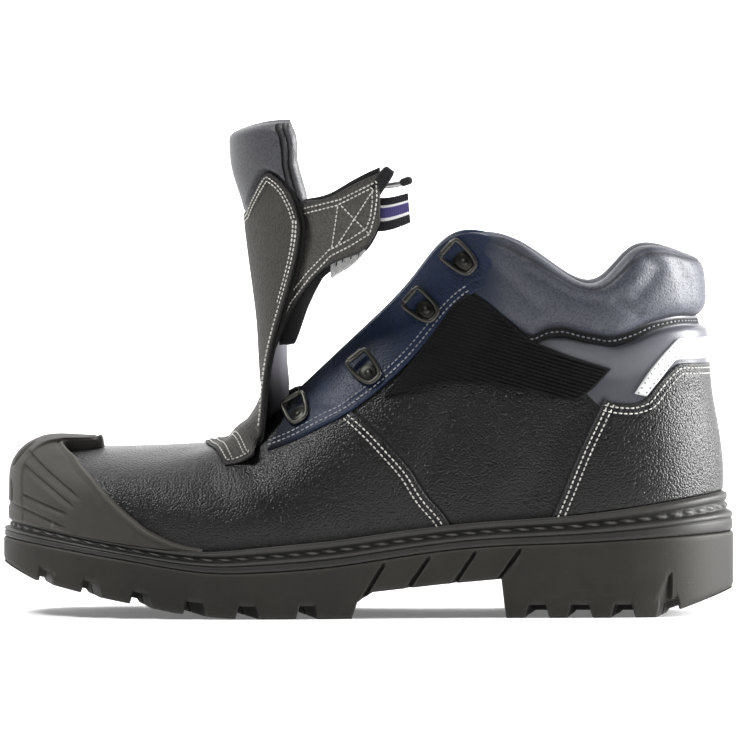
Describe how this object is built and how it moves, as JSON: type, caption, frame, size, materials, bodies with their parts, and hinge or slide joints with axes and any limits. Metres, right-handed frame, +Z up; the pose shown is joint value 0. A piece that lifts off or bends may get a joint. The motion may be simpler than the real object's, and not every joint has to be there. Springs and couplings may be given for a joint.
{
  "type": "welding shoe",
  "caption": "Ankle-high leather safety boot for welding, left foot, with lugged rubber sole, toe scuff cap, padded collar and a lace flap folded open with its strap.",
  "frame": {"origin": "on the floor, under the middle of the shoe's length and width", "axes": "+Z up from the floor, the toe points to -X, the outer side of the foot faces -Y"},
  "size_m": [0.3108, 0.1146, 0.2085],
  "materials": {
    "sole_rubber": "matte moulded rubber",
    "cap_rubber": "matte scuff-resistant moulding",
    "black_leather": "pebbled grain, semi-gloss",
    "soft_leather": "smooth padded grey-blue, satin",
    "flap_leather": "matte fine grain",
    "loop_fabric": "napped ribbed tape",
    "lining_fabric": "felt",
    "reflective": "pale reflective trim",
    "striped_tape": "woven striped tape",
    "dark_metal": "gunmetal, worn bright on edges"
  },
  "bodies": {
    "root": {"outsole": "sole_rubber", "midsole": "sole_rubber", "insole": "lining_fabric", "upper": "black_leather", "toe_cap": "cap_rubber", "heel_counter": "black_leather", "reflective_band": "reflective", "collar": "soft_leather", "eyestay_outer": "soft_leather", "eyestay_inner": "soft_leather", "loop_patch": "loop_fabric", "flap": "flap_leather", "tongue": "soft_leather", "strap": "flap_leather", "strap_lining": "loop_fabric", "pull_tape": "striped_tape", "keeper_loop": "loop_fabric", "lace_ring_outer_1": "dark_metal", "lace_ring_outer_2": "dark_metal", "lace_ring_outer_3": "dark_metal", "lace_ring_outer_4": "dark_metal", "lace_ring_inner_1": "dark_metal", "lace_ring_inner_2": "dark_metal", "lace_ring_inner_3": "dark_metal", "lace_ring_inner_4": "dark_metal"}
  },
  "joints": []
}
